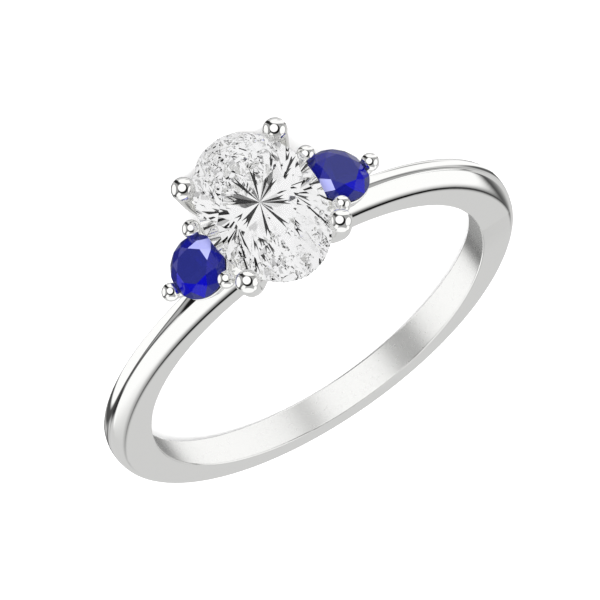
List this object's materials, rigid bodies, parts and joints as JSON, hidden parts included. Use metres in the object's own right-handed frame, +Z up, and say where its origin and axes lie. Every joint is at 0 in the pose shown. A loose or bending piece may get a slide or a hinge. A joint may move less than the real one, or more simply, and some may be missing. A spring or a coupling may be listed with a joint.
{
  "type": "three-stone sapphire ring",
  "caption": "Narrow domed band with a four-claw oval brilliant at its head and a smaller round sapphire in a three-prong cup at each side, lying on its side.",
  "frame": {"origin": "on the floor, under the middle of the part's bounding box", "axes": "+Z up from the floor, +Y from the head towards the back of the band, +X towards the left-hand sapphire as seen from the head"},
  "size_m": [0.0206, 0.024, 0.0072],
  "materials": {
    "white_metal": "high polish white gold",
    "clear_stone": "polished facets, colourless",
    "sapphire": "polished facets, royal blue"
  },
  "bodies": {
    "root": {"ring_mount": "white_metal", "centre_stone": "clear_stone", "left_sapphire": "sapphire", "right_sapphire": "sapphire"}
  },
  "joints": []
}
